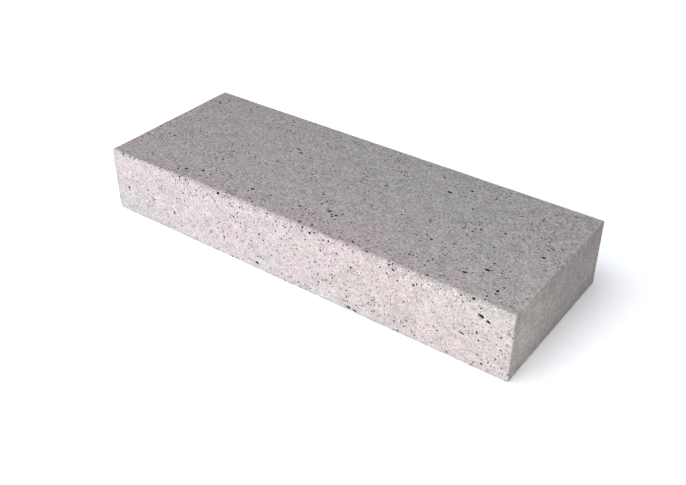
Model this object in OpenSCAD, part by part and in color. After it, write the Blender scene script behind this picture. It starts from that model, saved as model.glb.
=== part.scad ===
// Concrete step block: a solid cast step for a garden or entrance stair.
// It lies on its underside, with its length along X, its riser facing -Y and its tread facing +Z.
// The origin is under the middle of the block, on the surface that it lies on.

/* [Block] */
// Length of the step, end to end
step_length = 1000; // [500:10:2000]
// Depth of the tread, from the riser to the back
tread_depth = 370; // [250:5:500]
// Rise of the step, from the underside to the tread
rise = 150; // [100:5:200]

/* [Arrises] */
// Radius of the round nosing, where the riser meets the tread
nosing_radius = 10; // [6:1:30]
// Width taken off each side of every other arris
arris_width = 1.5; // [0.5:0.5:4]

/* [Hidden] */
// Colour of the bare concrete
concrete_colour = [0.74, 0.7, 0.7];
// How far a cut runs past the face that it opens
overrun = 1;
$fn = 96;

// A rectangle that stands on the X axis, with its corners cut off at 45 degrees
module eased_rectangle(width, height) {
    side = width / 2;
    polygon([
        [arris_width - side, 0],
        [side - arris_width, 0],
        [side, arris_width],
        [side, height - arris_width],
        [side - arris_width, height],
        [arris_width - side, height],
        [-side, height - arris_width],
        [-side, arris_width]
    ]);
}

// The block with every arris eased: what its plan, its elevation and its section have in common
module eased_block() {
    intersection() {
        translate([0, -tread_depth / 2, 0])
            linear_extrude(rise) eased_rectangle(step_length, tread_depth);
        rotate([90, 0, 0])
            linear_extrude(tread_depth, center = true) eased_rectangle(step_length, rise);
        rotate([90, 0, 90])
            linear_extrude(step_length, center = true) eased_rectangle(tread_depth, rise);
    }
}

// The round bar that fills the nosing, with its rims eased like the arrises that they run into
module nosing_bar() {
    end = step_length / 2;
    rim = nosing_radius - arris_width;
    rotate([0, 90, 0])
        rotate_extrude()
            polygon([
                [0, -end],
                [rim, -end],
                [nosing_radius, arris_width - end],
                [nosing_radius, end - arris_width],
                [rim, end],
                [0, end]
            ]);
}

// The corner of the block that lies outside the round nosing
module nosing_waste() {
    reach = nosing_radius + overrun;
    translate([0, nosing_radius - tread_depth / 2, rise - nosing_radius])
        difference() {
            translate([-step_length / 2 - overrun, -reach, 0])
                cube([step_length + 2 * overrun, reach, reach]);
            nosing_bar();
        }
}

module step_block() {
    color(concrete_colour)
        difference() {
            eased_block();
            nosing_waste();
        }
}

step_block();
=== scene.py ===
"""A solid concrete step block with open pores, worn arrises and mottled colour, in a white studio.

The block's skin is made of flat sheets of points that are laid on the block. The wrap goes round
it, up the back, over the tread and the round nosing, down the riser and back along the underside,
and it turns over the arrises at both ends. A sheet for each end meets it there. A pore is a set of
rings of points in a sheet, the inner ones sunk into the block.

All sizes are in metres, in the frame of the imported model, unless a comment says otherwise. The low
end is the one at the lowest X.
"""

import math
from types import SimpleNamespace

import bmesh
import bpy
import numpy as np
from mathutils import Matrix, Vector, geometry, kdtree

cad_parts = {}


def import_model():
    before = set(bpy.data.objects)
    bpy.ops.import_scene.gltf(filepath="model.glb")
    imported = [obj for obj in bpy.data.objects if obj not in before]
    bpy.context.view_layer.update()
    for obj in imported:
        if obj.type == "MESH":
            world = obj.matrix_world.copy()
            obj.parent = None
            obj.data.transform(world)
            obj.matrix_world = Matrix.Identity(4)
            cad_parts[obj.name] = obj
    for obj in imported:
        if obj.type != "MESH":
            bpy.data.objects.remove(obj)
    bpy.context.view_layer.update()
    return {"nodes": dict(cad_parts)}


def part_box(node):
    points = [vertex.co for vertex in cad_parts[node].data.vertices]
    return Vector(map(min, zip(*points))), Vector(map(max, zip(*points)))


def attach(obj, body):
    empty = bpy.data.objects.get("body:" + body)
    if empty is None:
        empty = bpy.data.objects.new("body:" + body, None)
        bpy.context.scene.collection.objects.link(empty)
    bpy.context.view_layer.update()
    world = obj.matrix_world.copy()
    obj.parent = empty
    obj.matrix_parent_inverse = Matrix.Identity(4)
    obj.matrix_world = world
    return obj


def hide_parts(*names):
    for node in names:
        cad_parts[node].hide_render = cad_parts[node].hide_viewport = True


SEED = 20
NODE = "step_block"
QUARTER = math.pi / 2

# Rubbed arrises: those along the block, all but the nosing, and those round its two ends
ARRISES = ("heel", "back_arris", "toe")
ARRIS_RADIUS = 0.0018
END_RADIUS = 0.0014
ARRIS_DROP = 1 - math.sqrt(0.5)  # how far back the middle of one is, for a radius of 1

# How finely the skin is divided
STATION_STEP = 0.0042  # along an arris
SEAM_STEP = 0.0012  # along the seam between the wrap and an end
CHIP_STEP = 0.0008  # over a chip
ARC_STEPS = 3  # across a rubbed arris
NOSING_STEPS = 9  # across the nosing
PANEL_STEP = 0.015  # between the points in the middle of a face
PANEL_JITTER = (0.25, 0.75)  # where in its own square such a point may lie
BANDS = (0.0014, 0.0045)  # rows of points beside an arris, by their distance from it
NEAREST = 0.0005  # points closer together than this are left out

# Unevenness: how far the faces and the arrises are worn back, and over what length
FACE_WAVE = (0.0003, 0.11)
ARRIS_WAVE = (0.0003, 0.014)

# The nosing's radius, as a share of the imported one
NOSING_SHARES = (0.35, 1.2)  # at the ends of the block, where it is less worn, and in the middle
NOSING_FRESH = (0.3, 0.12)  # how far from the low and the high end it is less worn
NOSING_WAVES = ((0.6, 0.08), (0.5, 0.018))  # how much it wanders, and over what length
NOSING_LIMITS = (0.175, 1.4)  # the least and the most that it may come to

# The shape of a pore, where its depth and its rim are for a radius of 1
PORE_STRETCH = 0.9  # how much longer than wide one may be, for a width of 1
PORE_DEPTHS = (0.9, 1.6)
PORE_LOBES = 0.1  # how wavy its rim may be
PORE_REACH = 1.15  # about how far such a rim goes, where the longest radius is 1
PORE_BOWL = 2.6  # how steep the walls are: 2 is a round bowl, and more is steeper
PORE_RINGS = [  # for a radius of at least this, the radii of its rings, where the rim has 1
    (0.002, (1, 0.93, 0.75, 0.4)),
    (0.0013, (1, 0.88, 0.5)),
    (0, (1, 0.8)),
]
RIM_EDGE = 0.0008  # between the points of a rim
RIM_POINTS = (7, 20)  # the fewest and the most
RING_POINTS = 4  # the fewest in an inner ring
RING_SHARE = 0.3  # how many points a ring of no size would have, where the rim has 1

# Scattered pores. The number wider than a given width falls with a power of that width.
PORE_NARROWEST = 0.0021
PORE_POWER = 3
PORE_GAP = 0.0006  # the least that lies between two of them
PORE_TRIES = 30  # at finding a place for one
PORE_CLUSTERED = 0.3  # share of them that lie close to another
PORE_SPREAD = 0.008  # how close that is
PORE_PATCHES = 0.11  # the size of the patches where they are denser
PORE_SPARSE = 0.3  # how dense they are between those patches, where 1 is in them
PORES = [  # how many to the square metre, and the widest; sharp arrises part one line from the next
    {"rear_underside": (200, 0.005)},
    {"back": (1500, 0.005)},
    {"tread": (2600, 0.005), "nosing": (5000, 0.0045), "riser": (2100, 0.004)},
    {"front_underside": (200, 0.005)},
]
END_PORES = (250, 0.005)  # the same for an end
END_PORE_INSET = 0.006  # how far inside the outline the middle of an end's pore lies

# The pores with places of their own. In mm: how far each is from the high end, how far down the
# riser, or back over the tread if negative, and its width. Then its length over its width, and its
# turn in degrees, where 90 is along the block.
MARKED_PORES = [
    # on the riser and the nosing
    (65, 30, 7.5, 1.8, 70),
    (50, 36, 6.5, 1.4, 80),
    (100, 85, 4, 3.2, 65),
    (70, 70, 4, 1.9, 20),
    (65, 85, 4, 1.4, 30),
    (55, 135, 5, 1.1, 90),
    (205, 25, 5, 1.3, 70),
    (250, 10, 5, 1.5, 80),
    (345, 45, 5, 1.1, 0),
    (445, 5, 5.5, 1.1, 0),
    (575, 60, 5, 1.1, 30),
    (675, 105, 5, 1.2, 0),
    (585, 135, 6, 1.7, 90),
    (820, 100, 5.5, 1.3, 20),
    (960, 85, 6.5, 1.1, 60),
    (85, -2, 5.5, 1.3, 90),
    (465, -3, 4.5, 1.2, 10),
    (555, 0, 4, 1.1, 0),
    (685, 0, 6, 1.3, 60),
    (930, 0, 3, 1.2, 0),
    (965, 0, 4, 1.1, 0),
    # beside the toe, and beside the high end
    (350, 143, 6, 1.8, 90),
    (335, 145, 4, 2.4, 90),
    (655, 147, 3, 2, 90),
    (640, 145, 3, 1.6, 90),
    (700, 146, 2, 3.5, 90),
    (540, 147, 3, 1.4, 90),
    (510, 147, 3, 1.5, 90),
    (235, 147, 3, 1.4, 90),
    (75, 147, 2.4, 3, 90),
    (2, 49, 2.8, 1.1, 0),
    # on the tread
    (60, -45, 6.5, 1.1, 0),
    (105, -90, 8, 1.4, 90),
    (135, -60, 7, 1.5, 95),
    (135, -215, 5, 1.3, 90),
    (40, -185, 6.5, 1.5, 100),
    (190, -185, 5, 1.1, 90),
    (300, -285, 8, 1.6, 90),
    (265, -315, 6.5, 1.4, 90),
    (240, -115, 6, 1.2, 80),
    (665, -245, 7, 1.6, 95),
    (650, -235, 7, 1.5, 85),
    (635, -55, 7, 1.3, 90),
    (770, -50, 6.5, 1.4, 90),
    (805, -35, 6.5, 1.4, 90),
    (455, -80, 6.5, 1.6, 90),
    (435, -75, 6, 1.5, 80),
    (970, -320, 8, 1.2, 0),
    (950, -130, 6, 1.4, 90),
    (935, -130, 6, 1.3, 90),
    (480, -15, 6, 1.4, 0),
    (180, -200, 5.5, 1.3, 90),
    (340, -330, 6, 1.3, 90),
    (185, -12, 5, 1.2, 90),
    (420, -230, 5.5, 1.4, 90),
    (515, -60, 5.5, 1.6, 90),
    (55, -60, 4.5, 1.3, 90),
    (355, -20, 5, 1.2, 90),
    (50, -350, 5, 1.4, 90),
]
MARKED_DEPTH = 0.5  # how deep they are, for a width of 1

# Chips in the arrises: ellipsoids that bite into the block. The number with a radius over a given
# one falls with a power of it.
CHIPS_PER_M = {"heel": 12, "back_arris": 14, "toe": 34}
END_CHIPS_PER_M = 18
CHIP_RADII = (0.0016, 0.0046)
CHIP_POWER = 2.6
CHIP_STRETCHES = (1, 1.8)  # how long one is along its arris, for a width of 1
CHIP_OUT = (0.3, 0.6)  # how far its middle lies out of the block, for a radius of 1
CHIP_LEAN = (0.35, 0.65)  # the weight of one of the two faces that meet there, in its way out
CHIP_WAVE = (0.35, 0.004)  # how much its radius strays, and over what length
CHIP_INSET = 0.01  # the least from an end to the middle of a chip in an arris along the block
CHIP_PAINTED_SHADE = 0.5  # painted shade in a chip's hollow: how dark it is, where a pore is 1
CHIP_PAINTED_SHADE_DEPTH = 0.0008  # how far the skin has to be pushed in to be that dark

# The mesh
WELD = 2e-6  # points closer together than this are welded
CREASE = 38  # the angle, in degrees, from which an edge is sharp
PLAN_GAP = 0.008  # between the sheets on their flat plan
SAME_SPOT = 1e-7  # points of a sheet closer together than this, in mm, are one

# Concrete: hues. Blotches of two sizes run from grey-green to pink.
GREENISH = (0.482, 0.485, 0.478, 1)
PINKISH = (0.562, 0.485, 0.509, 1)
HUE_LARGE, HUE_SMALL = 0.5, 0.05
HUE_WEIGHT = 0.6  # of the smaller ones, where the larger ones have 1
HUE_RANGE = (0.52, 1.08)  # the sums that are wholly grey-green and wholly pink
HUE_PLACE = (8.4, 11.8, 16.6)  # where in the noise the block lies, which places the larger ones

# Concrete: how far its tone strays, with the size, the detail and the roughness of the noise
CLOUDS, CLOUD_NOISE = 0.09, (0.03, 3, 0.6)
MOTTLE, MOTTLE_NOISE = 0.125, (0.0075, 2, 0.5)
SAND, SAND_NOISE = 0.355, (0.0028, 2, 0.6)
NOISE_RANGE = (0.3, 0.7)  # the values of a noise that give the full range

# Concrete: dark and pale grains, with how much they change the tone. The cells are their spacing,
# the share of the cells that hold one, and the widest radius.
DARK_GRAINS, DARK_CELLS = 0.58, (0.0062, 0.75, 0.0026)
PALE_GRAINS, PALE_CELLS = 0.28, (0.005, 0.5, 0.0022)
GRAIN_CORE = 0.75  # the share of a grain's radius that is in full strength
GRAIN_RIM, GRAIN_RIM_SIZE = 0.003, 0.004  # the span their rims stray in, and over what size
GRAIN_PATCHES, GRAIN_PATCH_SIZE = (0.5, 1.4), 0.09  # how strong the dark ones are in patches
GRAIN_PATCH_RANGE = (0.35, 0.65)  # the values of their noise that give the full range

# Concrete: what differs on the ends, with painted light and shade among it
END_DEPTHS = (0.002, 0.0005)  # how far from an end its finish starts, and where it is complete
END_SMOOTHNESS = 0.6  # how much weaker the grains are
END_SAND = 0.15  # how much weaker the sand is
END_BLOTCHES, END_BLOTCH_NOISE = 0.06, (0.035, 2, 0.5)  # as for the clouds
END_BLOTCH_SCALE = (1, 1, 0.3)  # makes the blotches tall
END_PALEST, END_FADED = 0.066, 0.074  # painted light: the height of the palest level, as of light thrown up by the floor, and how far off it fades
END_PAINTED_LIGHT_AND_SHADE = (0.041, -0.074)  # painted light and shade: how much paler it is there, and how much darker far from there
END_FOOT_PAINTED_SHADE, END_FOOT_SHADE_HEIGHTS = -0.075, (0.006, 0.045)  # painted shade: how dark its foot is, as in the floor's shadow, and where that fades

# Concrete: darkening by the nosing, painted shade at the foot, pores and finish
NOSING_DARKENING = 0.05  # how much darker it is by the nosing
NOSING_FADE = (0.008, 0.024)  # how far from the nosing that starts to fade, and where it ends
FOOT_PAINTED_SHADE = (0.945, 0.975, 0.985, 1)  # painted shade, a little bluish: how much darker it is at the foot
FOOT_SHADE_HEIGHTS = (0.003, 0.014)  # where that starts to fade, and where it ends
# dirt and painted shade deep in the pores, and painted shade in the chips
PORE_DIRT_AND_SHADE = (0.018, 0.018, 0.02, 1)
ROUGHNESS = (0.95, 0.82)  # in the darkest sand and in the palest
GLOSS = 0.1  # the shader's specular level
BUMP = 0.0004  # how high the surface stands for a height of 1

# The floor. It has one colour for the light that it throws on the block, and one for the camera.
# The second has a level that rises with the distance from the near point, as the lamps' light
# falls off, so that all but the shadow is white.
FLOOR_HALF = 25  # half its length
FLOOR_COLOUR = (0.7, 0.7, 0.7, 1)
FLOOR_SEEN = (0.985, 1.015, 1.065)
FLOOR_NEAR = (0.6, -0.35, 0)
FLOOR_REACH = 2.25  # the distance where the level stops rising
FLOOR_POWER = 1.7  # how late it rises, where 1 is evenly
FLOOR_LEVELS = (1.435, 4.4)  # at the near point, and where it stops rising
SHADOW_REACH = 0.095  # how far the painted shadow at the block's foot, from ambient occlusion, goes
SHADOW_POWER = 0.3  # and how strong it is

# The light
WHITE = (1, 1, 1, 1)
SKY = (0.33, 0.33, 0.335, 1)
WARM = (1.0, 0.98, 0.968)
LAMPS = [
    # name, place, aim, size, power, colour
    ("key_left", (-1.0, -1.7, 0.22), (-0.2, 0, 0.10), (0.9, 0.45), 13.6, WARM),
    ("key_middle", (-0.15, -1.7, 0.22), (-0.15, 0, 0.10), (0.9, 0.45), 11.9, WARM),
    ("kicker", (0.935, -0.725, 0.4), (0.5, -0.1, 0.08), (0.35, 0.35), 2.95, (0.98, 0.935, 0.855)),
    ("overhead", (-0.18, -0.47, 1.7), (0, 0, 0.15), (1.6, 1.0), 9.8, (0.985, 0.98, 1)),
]

# The camera
LENS = 48.25  # in mm
SENSOR = 36  # in mm
CAMERA_TURN = 36.34  # in degrees, from straight in front of the riser
CAMERA_TILT = 34.17  # in degrees, down
CAMERA_AIM = (0.067, -0.090, 0)  # what it looks at, from the block's middle
CAMERA_DISTANCE = 1.868


def unit(vectors):
    """The vectors, with a length of 1."""
    return vectors / np.linalg.norm(vectors, axis=-1, keepdims=True)


def smooth(share):
    """Eases from 0 to 1 with no kink at either end."""
    share = np.clip(share, 0, 1)
    return share * share * (3 - 2 * share)


def power_law(rng, count, widths, power):
    """Random widths between two limits, the widest first, most of them near the lower limit."""
    drawn = widths[0] * rng.uniform(size=count) ** (-1 / power)
    return np.sort(np.minimum(drawn, widths[1]))[::-1]


class Swell:
    """A smooth random field in space, from 0 to its depth, made of plane waves."""

    COUNT = 16
    PITCHES = (0.6, 1.5)  # how many of a wave there are to the length
    SPREAD = 2.2 * math.sqrt(COUNT)  # the span of the waves' sum that makes up the depth

    def __init__(self, rng, depth, length):
        ways = unit(rng.normal(size=(self.COUNT, 3)))
        self.depth = depth
        self.waves = ways * 2 * math.pi / length * rng.uniform(*self.PITCHES, (self.COUNT, 1))
        self.phases = rng.uniform(0, 2 * math.pi, self.COUNT)

    def at(self, spots):
        total = np.sin(spots @ self.waves.T + self.phases).sum(1)
        return self.depth * np.clip(0.5 + total / self.SPREAD, 0, 1)


# ---------------------------------------------------------------- the outline across the block


class Outline:
    """The block's section in the YZ plane. It is walked from the middle of the underside to the
    heel, up the back, over the tread and the nosing, down the riser to the toe, and back to the
    middle. A place on it is the distance walked."""

    def __init__(self, low, high, nosing, arris):
        front, back, foot, top = low.y, high.y, low.z, high.z
        middle = (front + back) / 2
        self.low, self.high = np.array([front, foot]), np.array([back, top])
        self.nosing = nosing
        self.nose = np.array([front + nosing, top - nosing])
        self.spans = {}
        self.places = []
        self.length = 0.0
        self._line("rear_underside", (middle, foot), (1, 0), back - middle - arris)
        self._arc("heel", (back - arris, foot + arris), arris, -QUARTER)
        self._line("back", (back, foot + arris), (0, 1), top - foot - 2 * arris)
        self._arc("back_arris", (back - arris, top - arris), arris, 0)
        self._line("tread", (back - arris, top), (-1, 0), back - front - arris - nosing)
        self._arc("nosing", self.nose, nosing, QUARTER)
        self._line("riser", (front, top - nosing), (0, -1), top - foot - nosing - arris)
        self._arc("toe", (front + arris, foot + arris), arris, 2 * QUARTER)
        self._line("front_underside", (front + arris, foot), (1, 0), middle - front - arris)

    def _add(self, name, length, place):
        self.spans[name] = (self.length, self.length + length)
        self.places.append(place)
        self.length += length

    def _line(self, name, start, along, length):
        def place(walked):
            spots = np.array(start) + np.outer(walked, along)
            return spots, np.broadcast_to([along[1], -along[0]], spots.shape)

        self._add(name, length, place)

    def _arc(self, name, centre, radius, angle):
        def place(walked):
            turn = angle + walked / radius
            out = np.stack([np.cos(turn), np.sin(turn)], 1)
            return np.array(centre) + radius * out, out

        self._add(name, radius * QUARTER, place)

    def at(self, walked):
        """The points (y, z) at these distances, and the ways (y, z) out of the block there."""
        walked = np.asarray(walked, float)
        starts = np.array([start for start, _ in self.spans.values()])
        part = np.clip(np.searchsorted(starts, walked, side="right") - 1, 0, len(starts) - 1)
        spots, outs = np.zeros((2, len(walked), 2))
        for number, place in enumerate(self.places):
            here = part == number
            spots[here], outs[here] = place(walked[here] - starts[number])
        return spots, outs

    def walked_to(self, down):
        """The place that is this far down the riser, or back over the tread if negative."""
        back, front = self.spans["tread"]
        under, foot = self.spans["riser"]
        downs = back - front - self.nosing, -self.nosing, self.nosing, self.nosing + foot - under
        return np.interp(down, downs, (back, front, under, foot))

    def cover(self, spots):
        """How far inside the outline points (y, z) lie."""
        sides = np.minimum(spots - self.low, self.high - spots).min(1)
        away = np.linalg.norm(spots - self.nose, axis=1)
        by_nose = (spots[:, 0] < self.nose[0]) & (spots[:, 1] > self.nose[1])
        return np.where(by_nose, self.nosing - away, sides)

    def stations(self, step):
        """Distances all the way round, about a step apart, and closer over the arrises."""
        places = []
        for name, (start, end) in self.spans.items():
            least = ARC_STEPS if name in ARRISES else 1
            count = max(least, round((end - start) / step))
            places.append(np.linspace(start, end, count, endpoint=False))
        return np.concatenate([*places, [self.length]])


# ---------------------------------------------------------------- pores


def new_pore(rng, width, centre=(0, 0), stretch=None, turn=None, depth=None):
    """A pore: an ellipse with a wavy rim. stretch is its length over its width."""
    return SimpleNamespace(
        centre=np.array(centre, float),
        radius=width / 2,
        stretch=math.sqrt(stretch or 1 + PORE_STRETCH * rng.uniform() ** 2),
        turn=rng.uniform(0, math.pi) if turn is None else turn,
        depth=depth or width / 2 * rng.uniform(*PORE_DEPTHS),
        lobes=rng.uniform(0, PORE_LOBES, 2),
        phases=rng.uniform(0, 2 * math.pi, 2),
    )


def reach(pore):
    """How far a pore's rim goes from its middle."""
    return pore.radius * pore.stretch * PORE_REACH


def scatter_pores(rng, pores, area, walls, per_m2, widest):
    """Adds pores with their centres in an area of the sheet. They stay within the walls, and clear
    of each other. The area and the walls are the low and the high corner of a rectangle."""
    low, high = np.array(area)
    patches = Swell(rng, 1 - PORE_SPARSE, PORE_PATCHES)
    count = rng.poisson(per_m2 * (high - low).prod())
    for width in power_law(rng, count, (PORE_NARROWEST, widest), PORE_POWER):
        pore = new_pore(rng, width)
        size = reach(pore)
        centres = np.array([other.centre for other in pores]).reshape(-1, 2)
        clearances = np.array([reach(other) for other in pores]) + size + PORE_GAP
        beside = len(pores) > 0 and rng.uniform() < PORE_CLUSTERED
        for _ in range(PORE_TRIES):
            spot = rng.uniform(low, high)
            if beside:
                spot = centres[rng.integers(len(pores))] + rng.normal(0, PORE_SPREAD, 2)
            inside = (spot > low).all() and (spot < high).all()
            inside = inside and (spot - size > walls[0]).all() and (spot + size < walls[1]).all()
            dense = patches.at(np.array([[*spot, 0]]))[0] + PORE_SPARSE
            inside = inside and rng.uniform() < dense
            if inside and (np.linalg.norm(centres - spot, axis=1) > clearances).all():
                pore.centre = spot
                pores.append(pore)
                break


def pore_rings(pore):
    """The pore's points, in rings from the rim inwards, how deep each is sunk, and how dark it
    is."""
    rings = next(shares for least, shares in PORE_RINGS if pore.radius >= least)
    rim_count = int(np.clip(round(pore.radius * 2 * math.pi / RIM_EDGE), *RIM_POINTS))
    cos, sin = math.cos(pore.turn), math.sin(pore.turn)
    spots, depths, darks = [], [], []
    for number, share in enumerate(rings):
        fewer = round(rim_count * (RING_SHARE + (1 - RING_SHARE) * share))
        count = rim_count if number < 2 else max(RING_POINTS, fewer)
        offset = number // 2 / 2  # turns all but the first two rings by half a step
        angle = (np.arange(count) + offset) * 2 * math.pi / count
        wave = 1 + pore.lobes[0] * np.cos(2 * angle + pore.phases[0])
        wave += pore.lobes[1] * np.cos(3 * angle + pore.phases[1])
        along = np.cos(angle) * pore.stretch
        across = np.sin(angle) / pore.stretch
        ring = np.stack([cos * along - sin * across, sin * along + cos * across], 1)
        spots.append(pore.centre + share * pore.radius * wave[:, None] * ring)
        depths.append(np.full(count, pore.depth * math.sqrt(1 - share**PORE_BOWL)))
        darks.append(np.full(count, number > 0, float))
    return SimpleNamespace(
        rim_count=rim_count,
        spots=np.concatenate([*spots, pore.centre[None]]),
        depths=np.concatenate([*depths, [pore.depth]]),
        darks=np.concatenate([*darks, [1]]),
    )


# ---------------------------------------------------------------- chips


def chip_on_arris(rng, radius, outline, name, half):
    """A chip in an arris that runs along the block."""
    start, end = outline.spans[name]
    place = np.array([(start + end) / 2, rng.uniform(-1, 1) * (half - CHIP_INSET)])
    spots, outs = outline.at([place[0], start, end])
    return SimpleNamespace(
        radius=radius,
        stretch=rng.uniform(*CHIP_STRETCHES),
        along=np.array([1.0, 0, 0]),
        centre=np.array([place[1], *(spots[0] + bite(rng, outs[1], outs[2]) * radius)]),
        on_wrap=place,
    )


def chip_on_end(rng, radius, outline, side, half):
    """A chip in an arris that runs round an end of the block."""
    walked = rng.uniform(0, outline.length)
    spots, outs = outline.at([walked])
    outs = np.array([0, *outs[0]])
    outward = bite(rng, outs, np.array([side, 0, 0]))
    rounded = END_RADIUS * ARRIS_DROP
    apex = np.array([side * half, *spots[0]]) - rounded * (outs + (side, 0, 0))
    return SimpleNamespace(
        radius=radius,
        stretch=rng.uniform(*CHIP_STRETCHES),
        along=np.array([0, -outs[2], outs[1]]),
        centre=apex + outward * radius,
        on_wrap=np.array([walked, side * (half - END_RADIUS)]),
        on_end=spots[0] * (side, 1),
    )


def bite(rng, one, other):
    """Where the middle of a chip lies off its arris, for a radius of 1, between two faces that
    look these ways."""
    lean = rng.uniform(*CHIP_LEAN)
    return unit(lean * one + (1 - lean) * other) * rng.uniform(*CHIP_OUT)


def bitten(spots, chips, bumps):
    """The points, with those inside a chip pushed out of it and into the block. The bumps are how
    much the chips' radii fall short."""
    spots = spots.copy()
    for chip in chips:
        away = spots - chip.centre
        span = (away @ chip.along)[:, None] * chip.along
        flat = away - span * (1 - 1 / chip.stretch)
        size = np.linalg.norm(flat, axis=1)
        radius = chip.radius * (1 - bumps.at(spots))
        inside = (size < radius) & (size > 0)
        scale = radius[inside] / size[inside]
        spots[inside] = chip.centre + away[inside] * scale[:, None]
    return spots


# ---------------------------------------------------------------- sheets


def tree_of(spots):
    """A search tree of the points of a sheet."""
    tree = kdtree.KDTree(len(spots))
    for number, spot in enumerate(spots.tolist()):
        tree.insert((*spot, 0), number)
    tree.balance()
    return tree


def thinned(edge, spots, gap):
    """The points without those that come too near to the sheet's edge or to an earlier point."""
    everything = np.concatenate([edge, spots])
    tree = tree_of(everything)
    keep = np.ones(len(everything), bool)
    for number, spot in enumerate(everything.tolist()):
        if keep[number]:
            near = [other for _, other, _ in tree.find_range((*spot, 0), gap) if other > number]
            keep[near] = False
    return spots[keep[len(edge) :]]


def cleared(spots, pores):
    """The points without those inside a pore or close to its rim."""
    keep = np.ones(len(spots), bool)
    tree = tree_of(spots)
    for pore in pores:
        found = tree.find_range((*pore.centre, 0), reach(pore) + NEAREST)
        keep[[number for _, number, _ in found]] = False
    return spots[keep]


def loop(first, count):
    """The edges of a closed ring of points with these numbers."""
    return [(first + step, first + (step + 1) % count) for step in range(count)]


def triangulated(spots, edges):
    """The triangles between a sheet's points. The edges are its border and its pores' rims."""
    places = [Vector(spot) for spot in (spots * 1000).tolist()]
    inside_border = 1
    found = geometry.delaunay_2d_cdt(places, edges, [], inside_border, SAME_SPOT)
    faces, origins = found[2], found[3]
    if len(found[0]) != len(spots) or any(len(origin) != 1 for origin in origins):
        raise ValueError("points of a sheet fell together, or its edges cross")
    faces = np.array([origin[0] for origin in origins])[np.array(faces)]
    a, b, c = (spots[faces[:, corner]] for corner in range(3))
    flipped = np.cross(b - a, c - a) < 0
    faces[flipped] = faces[flipped][:, ::-1]
    return faces


def make_sheet(border, background, pores):
    """A sheet: its points, its triangles, and how deep each point is sunk and how dark it is."""
    background = cleared(thinned(border, background, NEAREST), pores)
    edges = loop(0, len(border))
    flat = np.zeros(len(border) + len(background))
    spots, depths, darks = [border, background], [flat], [flat]
    first = len(flat)
    for pore in pores:
        rings = pore_rings(pore)
        edges += loop(first, rings.rim_count)
        first += len(rings.spots)
        spots.append(rings.spots)
        depths.append(rings.depths)
        darks.append(rings.darks)
    spots = np.concatenate(spots)
    return SimpleNamespace(
        spots=spots,
        faces=triangulated(spots, edges),
        depths=np.concatenate(depths),
        darks=np.concatenate(darks),
    )


def jittered(rng, low, high, step):
    """Points all over a rectangle, about a step apart."""
    low, high = np.array(low), np.array(high)
    counts = np.maximum(1, np.round((high - low) / step)).astype(int)
    index = np.stack(np.meshgrid(*(np.arange(count) for count in counts), indexing="ij"), -1)
    index = index.reshape(-1, 2) + rng.uniform(*PANEL_JITTER, (counts.prod(), 2))
    return low + index * (high - low) / counts


# ---------------------------------------------------------------- the skin


def rows_and_columns(rows, columns):
    """The points of the sheet where each row crosses each column."""
    return np.stack(np.meshgrid(rows, columns, indexing="ij"), -1).reshape(-1, 2)


def with_bands(rows):
    """Rows across an arris, and the bands on either side of them."""
    bands = np.array(BANDS)
    return np.concatenate([rows[0] - bands, rows, rows[-1] + bands])


def patch(centre, size):
    """A fine grid of points over a chip."""
    steps = np.arange(-size, size, CHIP_STEP)
    return np.array(centre) + rows_and_columns(steps, steps)


def within(spots, low, high):
    """The points between a rectangle's low and high corner."""
    return spots[((spots > low) & (spots < high)).all(1)]


def make_wrap(rng, outline, half, pores, chips):
    """The sheet round the block. Its coordinates are the distance walked round the outline, and the
    distance along the block, which carries on over the arrises at its ends."""
    turned = half - END_RADIUS
    edge = turned + END_RADIUS * QUARTER
    over = np.linspace(turned, edge, ARC_STEPS)[:-1]
    columns = np.concatenate([over, turned - np.array(BANDS)])
    stations = np.linspace(-turned, turned, round(2 * turned / STATION_STEP) + 1)
    crossing = np.concatenate([-over[:0:-1], stations, over[1:]])

    seam = outline.stations(SEAM_STEP)
    up = rows_and_columns([0], np.concatenate([[-edge], crossing]))
    right = rows_and_columns(seam[:-1], [edge])
    down = rows_and_columns([outline.length], np.concatenate([crossing, [edge]])[::-1])
    left = rows_and_columns(seam[:0:-1], [-edge])
    border = np.concatenate([up, right, down, left])

    background = [rows_and_columns(outline.stations(STATION_STEP), [*columns, *-columns])]
    for name in ARRISES:
        rows = np.linspace(*outline.spans[name], ARC_STEPS + 1)
        background.append(rows_and_columns(with_bands(rows), crossing))
    rows = np.linspace(*outline.spans["nosing"], NOSING_STEPS + 1)
    background.append(rows_and_columns(with_bands(rows), crossing))
    background += [patch(chip.on_wrap, chip.radius * chip.stretch) for chip in chips]
    corners = (0, -turned), (outline.length, turned)
    background.append(jittered(rng, *corners, PANEL_STEP))
    low = NEAREST, NEAREST - edge
    high = outline.length - NEAREST, edge - NEAREST
    background = within(np.concatenate(background), low, high)
    return make_sheet(border, background, pores)


def lay_wrap(sheet, outline, half):
    """Where the wrap's points lie on the block, and the ways out of it there."""
    flat, outs = outline.at(sheet.spots[:, 0])
    along = sheet.spots[:, 1]
    side = np.sign(along)
    turned = half - END_RADIUS
    turn = np.maximum(np.abs(along) - turned, 0) / END_RADIUS
    x = np.clip(along, -turned, turned) + side * END_RADIUS * np.sin(turn)
    flat = flat - outs * END_RADIUS * (1 - np.cos(turn))[:, None]
    outs = outs * np.cos(turn)[:, None]
    return np.column_stack([x, flat]), np.column_stack([side * np.sin(turn), outs])


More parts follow.
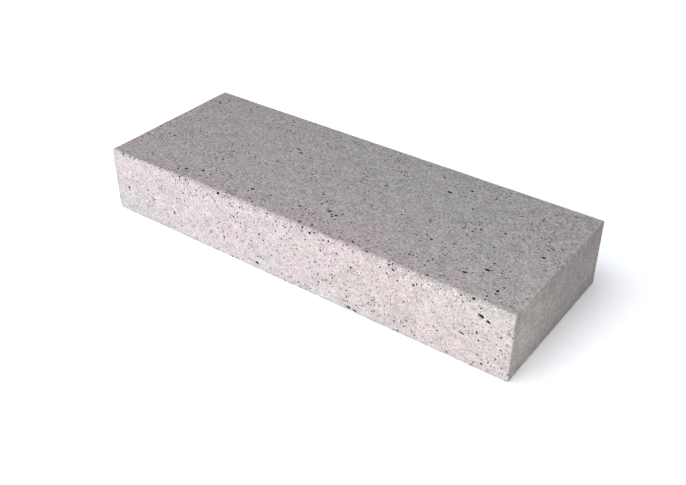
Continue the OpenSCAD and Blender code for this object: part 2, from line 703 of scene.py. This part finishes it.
def make_end(rng, outline, side, pores, chips):
    """The sheet over one end. Its coordinates are Y, turned round at the low end, and Z."""
    flat, outs = outline.at(outline.stations(SEAM_STEP)[:-1])
    border = (flat - outs * END_RADIUS) * (side, 1)
    if side < 0:
        border = border[::-1]
    background = []
    flat, outs = outline.at(outline.stations(STATION_STEP))
    for band in BANDS:
        background.append((flat - outs * (END_RADIUS + band)) * (side, 1))
    background += [patch(chip.on_end, chip.radius * chip.stretch) for chip in chips]
    low, high = border.min(0), border.max(0)
    background.append(jittered(rng, low + BANDS[-1], high - BANDS[-1], PANEL_STEP))
    background = np.concatenate(background)
    covered = outline.cover(background * (side, 1)) > END_RADIUS + NEAREST
    return make_sheet(border, background[covered], pores)


def lay_end(sheet, side, half):
    """Where an end's points lie on the block, and the ways out of it there."""
    x = np.full(len(sheet.spots), side * half)
    outs = np.zeros((len(x), 3))
    outs[:, 0] = side
    return np.column_stack([x, sheet.spots * (side, 1)]), outs


def make_pores(rng, outline, half):
    """The pores of the wrap, and of each end."""
    x = half - END_RADIUS - NEAREST
    wrap = []
    for along, down, width, stretch, turn in MARKED_PORES:
        centre = outline.walked_to(down / 1000), half - along / 1000
        mean = width / 1000 * math.sqrt(stretch)
        depth = mean * MARKED_DEPTH
        wrap.append(new_pore(rng, mean, centre, stretch, math.radians(turn), depth))
    for part in PORES:
        bounds = [bound for name in part for bound in outline.spans[name]]
        walls = (min(bounds) + NEAREST, -x), (max(bounds) - NEAREST, x)
        for name, (per_m2, widest) in part.items():
            start, end = outline.spans[name]
            scatter_pores(rng, wrap, ((start, -x), (end, x)), walls, per_m2, widest)
    ends = []
    gap = END_RADIUS + 2 * NEAREST
    for side in (-1, 1):
        corners = np.array([outline.low + gap, outline.high - gap]) * (side, 1)
        walls = corners.min(0), corners.max(0)
        pores = []
        scatter_pores(rng, pores, walls, walls, *END_PORES)
        covers = [outline.cover((pore.centre * (side, 1))[None])[0] for pore in pores]
        ends.append([pore for pore, cover in zip(pores, covers) if cover > END_PORE_INSET])
    return wrap, ends


def make_chips(rng, outline, half):
    """The chips of the arrises along the block, and of those round its low and high end."""
    wrap = []
    for name in ARRISES:
        count = rng.poisson(CHIPS_PER_M[name] * 2 * half)
        radii = power_law(rng, count, CHIP_RADII, CHIP_POWER)
        wrap += [chip_on_arris(rng, radius, outline, name, half) for radius in radii]
    ends = []
    for side in (-1, 1):
        count = rng.poisson(END_CHIPS_PER_M * outline.length)
        radii = power_law(rng, count, CHIP_RADII, CHIP_POWER)
        ends.append([chip_on_end(rng, radius, outline, side, half) for radius in radii])
    return wrap, ends


def with_worn_nosing(rng, spots, outline, half):
    """The skin's points, with those by the nosing moved onto one whose radius differs along it."""
    fresh, worn_down = NOSING_SHARES
    along = spots * (1, 0, 0)
    lengths = np.where(spots[:, 0] < 0, *NOSING_FRESH)
    share = fresh + (worn_down - fresh) * smooth((half - np.abs(spots[:, 0])) / lengths)
    for depth, length in NOSING_WAVES:
        share += Swell(rng, depth, length).at(along) - depth / 2
    radius = outline.nosing * np.clip(share, *NOSING_LIMITS)
    cover = outline.cover(spots[:, 1:])
    deep = (spots[:, 1:] - (outline.low[0], outline.high[1])) * (1, -1)
    away = deep - radius[:, None]
    on_arc = radius[:, None] + (radius - cover)[:, None] * unit(away)
    on_face = deep.copy()
    on_face[np.arange(len(deep)), deep.argmin(1)] = cover
    moved = np.where((away < 0).all(1)[:, None], on_arc, on_face)
    near = (deep < 2 * outline.nosing).all(1) & (cover < END_RADIUS + WELD)
    result = spots.copy()
    result[near, 1:] = (moved * (1, -1) + (outline.low[0], outline.high[1]))[near]
    return result


def worn(rng, spots, outs):
    """How far each point of the skin is worn back from the block's true shape."""
    rounded = (1 - np.abs(outs).max(1)) / ARRIS_DROP
    return Swell(rng, *FACE_WAVE).at(spots) + Swell(rng, *ARRIS_WAVE).at(spots) * rounded


def make_skin(rng, outline, half):
    """The block's skin: points, triangles, how dark each point is, and its place on a flat plan."""
    wrap_pores, end_pores = make_pores(rng, outline, half)
    wrap_chips, end_chips = make_chips(rng, outline, half)
    chips = wrap_chips + end_chips[0] + end_chips[1]
    sheets = [make_wrap(rng, outline, half, wrap_pores, chips)]
    laid = [lay_wrap(sheets[0], outline, half)]
    plans = [sheets[0].spots[:, ::-1]]
    for number, side in enumerate((-1, 1)):
        sheet = make_end(rng, outline, side, end_pores[number], end_chips[number])
        sheets.append(sheet)
        laid.append(lay_end(sheet, side, half))
        middle = side * half / 2, outline.length + PLAN_GAP
        plans.append(sheet.spots + middle)
    spots = np.concatenate([place for place, _ in laid])
    outs = np.concatenate([out for _, out in laid])
    starts = np.cumsum([0] + [len(sheet.spots) for sheet in sheets])
    depths = np.concatenate([sheet.depths for sheet in sheets]) + worn(rng, spots, outs)
    spots = with_worn_nosing(rng, spots, outline, half) - outs * depths[:, None]
    whole = spots
    spots = bitten(whole, chips, Swell(rng, *CHIP_WAVE))
    # painted shade in the chips' hollows, carried with the pores' darkness
    chipped = smooth(np.linalg.norm(spots - whole, axis=1) / CHIP_PAINTED_SHADE_DEPTH)
    darks = np.concatenate([sheet.darks for sheet in sheets])
    plan = np.concatenate(plans) + (half + PLAN_GAP, PLAN_GAP)
    return SimpleNamespace(
        spots=spots,
        faces=np.concatenate([sheet.faces + start for sheet, start in zip(sheets, starts)]),
        darks=np.maximum(darks, CHIP_PAINTED_SHADE * chipped),
        plan=plan / (plan.max() + PLAN_GAP),
    )


def build_block(rng, low, high, nosing):
    """The block as a closed mesh."""
    skin = make_skin(rng, Outline(low, high, nosing, ARRIS_RADIUS), high.x)
    mesh = bpy.data.meshes.new("concrete_block")
    mesh.from_pydata(skin.spots.tolist(), [], skin.faces.tolist())
    dark = mesh.attributes.new("pore", "FLOAT", "POINT")
    dark.data.foreach_set("value", skin.darks)
    layer = mesh.uv_layers.new(name="OFBake")
    layer.uv.foreach_set("vector", skin.plan[skin.faces.ravel()].ravel())
    welded = bmesh.new()
    welded.from_mesh(mesh)
    bmesh.ops.remove_doubles(welded, verts=welded.verts, dist=WELD)
    if not all(edge.is_manifold for edge in welded.edges):
        raise ValueError("the sheets don't close round the block")
    welded.to_mesh(mesh)
    welded.free()
    mesh.shade_smooth()
    mesh.set_sharp_from_angle(angle=math.radians(CREASE))
    block = bpy.data.objects.new("concrete_block", mesh)
    bpy.context.scene.collection.objects.link(block)
    return block


# ---------------------------------------------------------------- materials


def shader_tree(name):
    """A new material and its empty tree of nodes."""
    material = bpy.data.materials.new(name)
    material.use_nodes = True
    material.node_tree.nodes.clear()
    return material, material.node_tree


def node(tree, kind, inputs=None, **settings):
    """Adds a node. An input is a value, or the socket of another node that feeds it."""
    made = tree.nodes.new(kind)
    for name, value in settings.items():
        setattr(made, name, value)
    for name, value in (inputs or {}).items():
        if isinstance(value, bpy.types.NodeSocket):
            tree.links.new(value, made.inputs[name])
        else:
            made.inputs[name].default_value = value
    return made


def maths(tree, operation, *values):
    inputs = dict(enumerate(values))
    return node(tree, "ShaderNodeMath", inputs, operation=operation).outputs[0]


def product(tree, value, *others):
    for other in others:
        value = maths(tree, "MULTIPLY", value, other)
    return value


def vector_maths(tree, operation, one, other):
    inputs = {0: one, 1: other}
    return node(tree, "ShaderNodeVectorMath", inputs, operation=operation).outputs["Vector"]


def scaled(tree, colour, factor):
    inputs = {"Vector": colour, "Scale": factor}
    return node(tree, "ShaderNodeVectorMath", inputs, operation="SCALE").outputs["Vector"]


def mixed(tree, factor, one, other):
    inputs = {"Factor": factor, "A": one, "B": other}
    return node(tree, "ShaderNodeMix", inputs, data_type="RGBA").outputs["Result"]


def noise(tree, where, size, detail=1, roughness=0.5):
    """Noise with lumps of about this size."""
    inputs = {"Vector": where, "Scale": 1 / size, "Detail": detail, "Roughness": roughness}
    return node(tree, "ShaderNodeTexNoise", inputs).outputs["Fac"]


def remapped(tree, value, source, target):
    """The value, with the source range moved to the target range and held there."""
    names = "From Min", "From Max", "To Min", "To Max"
    inputs = {"Value": value, **dict(zip(names, (*source, *target)))}
    return node(tree, "ShaderNodeMapRange", inputs).outputs["Result"]


def uneven(tree, where, middle, depth, settings):
    """Noise that strays this far to either side of the middle."""
    value = noise(tree, where, *settings)
    return remapped(tree, value, NOISE_RANGE, (middle - depth, middle + depth))


def ragged_place(tree, where):
    """The place, strayed a little, so that what is round there has a ragged rim."""
    lumps = node(tree, "ShaderNodeTexNoise", {"Vector": where, "Scale": 1 / GRAIN_RIM_SIZE})
    stray = vector_maths(tree, "SUBTRACT", lumps.outputs["Color"], (0.5, 0.5, 0.5))
    return vector_maths(tree, "ADD", where, scaled(tree, stray, GRAIN_RIM))


def grains(tree, where, spacing, share, radius):
    """Round grains at random places: 1 inside a grain. Their spacing, the share of the cells that
    hold one and the widest radius are given."""
    cells = node(tree, "ShaderNodeTexVoronoi", {"Vector": where, "Scale": 1 / spacing}).outputs
    drawn = node(tree, "ShaderNodeSeparateColor", {"Color": cells["Color"]}).outputs["Red"]
    rim = remapped(tree, drawn, (1 - share, 1), (0, radius / spacing))
    inputs = {
        "Value": cells["Distance"],
        "From Min": maths(tree, "MULTIPLY", rim, GRAIN_CORE),
        "From Max": rim,
        "To Min": 1.0,
        "To Max": 0.0,
    }
    ramp = node(tree, "ShaderNodeMapRange", inputs, interpolation_type="SMOOTHSTEP")
    return ramp.outputs["Result"]


def blotchy_hue(tree, where):
    """Soft blotches that run from grey-green to pink."""
    large = noise(tree, vector_maths(tree, "ADD", where, HUE_PLACE), HUE_LARGE)
    small = noise(tree, where, HUE_SMALL, 2)
    hue = maths(tree, "MULTIPLY_ADD", small, HUE_WEIGHT, large)
    return mixed(tree, remapped(tree, hue, HUE_RANGE, (0, 1)), GREENISH, PINKISH)


def end_tone_with_painted_light_and_shade(tree, where, above):
    """How much paler an end is, or how much darker if negative: tall blotches, a band of painted
    light and shade that is palest at mid-height, and a dark foot of painted shade."""
    tall = vector_maths(tree, "MULTIPLY", where, END_BLOTCH_SCALE)
    blotches = uneven(tree, tall, 0, END_BLOTCHES, END_BLOTCH_NOISE)
    # painted light and shade: paler in a band at mid-height, as of light thrown up by the floor, and
    # darker above and below it
    off = maths(tree, "DIVIDE", maths(tree, "SUBTRACT", above, END_PALEST), END_FADED)
    band = remapped(tree, maths(tree, "MULTIPLY", off, off), (0, 1), END_PAINTED_LIGHT_AND_SHADE)
    # painted shade at the foot of the end, as in the floor's shadow
    foot = remapped(tree, above, END_FOOT_SHADE_HEIGHTS, (END_FOOT_PAINTED_SHADE, 0))
    return maths(tree, "ADD", maths(tree, "ADD", blotches, band), foot)


def concrete(low, high):
    """Pale pinkish concrete: blotches of hue, clouds, mottling, sand, dark and pale grains, and
    pores dark with dirt and painted shade. The chips hold painted shade. The ends are calmer, with a
    band of painted light and shade, and it is a little darker by the nosing and has painted shade at
    the foot."""
    material, tree = shader_tree("concrete")
    where = node(tree, "ShaderNodeTexCoord").outputs["Object"]
    apart = node(tree, "ShaderNodeSeparateXYZ", {"Vector": where}).outputs
    from_middle = maths(tree, "ABSOLUTE", apart["X"])
    on_end = remapped(tree, from_middle, [high.x - depth for depth in END_DEPTHS], (0, 1))
    behind = maths(tree, "SUBTRACT", apart["Y"], low.y)
    below = maths(tree, "SUBTRACT", high.z, apart["Z"])
    above = maths(tree, "SUBTRACT", apart["Z"], low.z)
    from_nosing = maths(tree, "MAXIMUM", behind, below)

    sand = uneven(tree, where, 0, SAND, SAND_NOISE)
    sand = maths(tree, "MULTIPLY", sand, maths(tree, "MULTIPLY_ADD", on_end, -END_SAND, 1))
    sand = maths(tree, "ADD", sand, 1)
    clouds = uneven(tree, where, 1, CLOUDS, CLOUD_NOISE)
    mottle = uneven(tree, where, 1, MOTTLE, MOTTLE_NOISE)
    ends = maths(tree, "MULTIPLY_ADD", end_tone_with_painted_light_and_shade(tree, where, above), on_end, 1)
    nosing_darkening = remapped(tree, from_nosing, NOSING_FADE, (1 - NOSING_DARKENING, 1))
    tone = product(tree, clouds, mottle, sand, ends, nosing_darkening)
    colour = scaled(tree, blotchy_hue(tree, where), tone)
    # painted shade at the foot of every face, a little bluish, as in the floor's shadow
    painted_foot_shade = mixed(tree, remapped(tree, above, FOOT_SHADE_HEIGHTS, (1, 0)), WHITE, FOOT_PAINTED_SHADE)
    colour = vector_maths(tree, "MULTIPLY", colour, painted_foot_shade)

    ragged = ragged_place(tree, where)
    coarse = maths(tree, "SUBTRACT", 1, maths(tree, "MULTIPLY", on_end, END_SMOOTHNESS))
    patches = noise(tree, where, GRAIN_PATCH_SIZE)
    patches = remapped(tree, patches, GRAIN_PATCH_RANGE, GRAIN_PATCHES)
    dark = product(tree, grains(tree, ragged, *DARK_CELLS), DARK_GRAINS, coarse, patches)
    pale = product(tree, grains(tree, ragged, *PALE_CELLS), PALE_GRAINS, coarse)
    colour = scaled(tree, colour, maths(tree, "SUBTRACT", 1, dark))
    colour = scaled(tree, colour, maths(tree, "ADD", 1, pale))
    # dirt and painted shade in the pores, and painted shade in the chips
    pore = node(tree, "ShaderNodeAttribute", attribute_name="pore").outputs["Fac"]
    colour = mixed(tree, pore, colour, PORE_DIRT_AND_SHADE)

    height = maths(tree, "SUBTRACT", sand, dark)
    bump = node(tree, "ShaderNodeBump", {"Height": height, "Strength": 1.0, "Distance": BUMP})
    inputs = {
        "Base Color": colour,
        "Roughness": remapped(tree, sand, (1 - SAND, 1 + SAND), ROUGHNESS),
        "Normal": bump.outputs["Normal"],
        "Specular IOR Level": GLOSS,
    }
    shader = node(tree, "ShaderNodeBsdfPrincipled", inputs)
    node(tree, "ShaderNodeOutputMaterial", {"Surface": shader.outputs["BSDF"]})
    return material


def seen(tree):
    """1 for the rays that see the white background: the camera's, and those off gloss or through
    glass."""
    path = node(tree, "ShaderNodeLightPath").outputs
    mirrored = maths(tree, "MAXIMUM", path["Is Glossy Ray"], path["Is Transmission Ray"])
    return maths(tree, "MAXIMUM", path["Is Camera Ray"], mirrored)


def studio_floor():
    """Shows white to the camera but for the block's shadow, part cast by the lamps and part painted
    from ambient occlusion, and lights the block as grey card does."""
    material, tree = shader_tree("studio_floor")
    where = node(tree, "ShaderNodeTexCoord").outputs["Object"]
    away = node(tree, "ShaderNodeVectorMath", {0: where, 1: FLOOR_NEAR}, operation="DISTANCE")
    away = maths(tree, "DIVIDE", away.outputs["Value"], FLOOR_REACH)
    level = remapped(tree, maths(tree, "POWER", away, FLOOR_POWER), (0, 1), FLOOR_LEVELS)
    # painted shadow: ambient occlusion darkens what the camera sees of the floor near the block
    open_share = node(tree, "ShaderNodeAmbientOcclusion", {"Distance": SHADOW_REACH}).outputs["AO"]
    level = maths(tree, "MULTIPLY", level, maths(tree, "POWER", open_share, SHADOW_POWER))
    colour = mixed(tree, seen(tree), FLOOR_COLOUR, scaled(tree, FLOOR_SEEN, level))
    shader = node(tree, "ShaderNodeBsdfDiffuse", {"Color": colour})
    node(tree, "ShaderNodeOutputMaterial", {"Surface": shader.outputs["BSDF"]})
    return material


# ---------------------------------------------------------------- studio


def build_floor():
    mesh = bpy.data.meshes.new("floor")
    corners = [(-1, -1), (1, -1), (1, 1), (-1, 1)]
    mesh.from_pydata([(x * FLOOR_HALF, y * FLOOR_HALF, 0) for x, y in corners], [], [(0, 1, 2, 3)])
    mesh.materials.append(studio_floor())
    floor = bpy.data.objects.new("floor", mesh)
    bpy.context.scene.collection.objects.link(floor)


def build_sky():
    world = bpy.data.worlds.new("sky")
    world.use_nodes = True
    tree = world.node_tree
    tree.nodes.clear()
    colour = mixed(tree, seen(tree), SKY, WHITE)
    light = node(tree, "ShaderNodeBackground", {"Color": colour, "Strength": 1.0})
    node(tree, "ShaderNodeOutputWorld", {"Surface": light.outputs["Background"]})
    bpy.context.scene.world = world


def build_lamp(name, place, aim, size, power, colour):
    light = bpy.data.lights.new(name, "AREA")
    light.shape = "RECTANGLE"
    light.size, light.size_y = size
    light.energy = power
    light.color = colour
    lamp = bpy.data.objects.new(name, light)
    lamp.location = place
    lamp.rotation_euler = (Vector(aim) - Vector(place)).to_track_quat("-Z", "Y").to_euler()
    bpy.context.scene.collection.objects.link(lamp)


def build_camera(middle):
    camera = bpy.data.cameras.new("camera")
    camera.lens = LENS
    camera.sensor_width = SENSOR
    camera.clip_end = 4 * FLOOR_HALF
    turn, tilt = math.radians(CAMERA_TURN), math.radians(CAMERA_TILT)
    level = math.cos(tilt)
    away = Vector((math.sin(turn) * level, -math.cos(turn) * level, math.sin(tilt)))
    holder = bpy.data.objects.new("camera", camera)
    holder.location = middle + Vector(CAMERA_AIM) + away * CAMERA_DISTANCE
    holder.rotation_euler = (QUARTER - tilt, 0, turn)
    bpy.context.scene.collection.objects.link(holder)
    bpy.context.scene.camera = holder


def nosing_radius(block, low, high):
    """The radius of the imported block's nosing: how far below the tread its riser starts."""
    riser = [vertex.co.z for vertex in block.data.vertices if vertex.co.y < low.y + WELD]
    return high.z - max(riser)


def main():
    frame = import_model()
    low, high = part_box(NODE)
    rng = np.random.default_rng(SEED)
    nosing = nosing_radius(frame["nodes"][NODE], low, high)
    block = build_block(rng, low, high, nosing)
    block.data.materials.append(concrete(low, high))
    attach(block, "root")
    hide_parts(NODE)

    build_floor()
    build_sky()
    for lamp in LAMPS:
        build_lamp(*lamp)
    build_camera((low + high) / 2)
    bpy.context.scene.view_settings.view_transform = "Standard"


main()
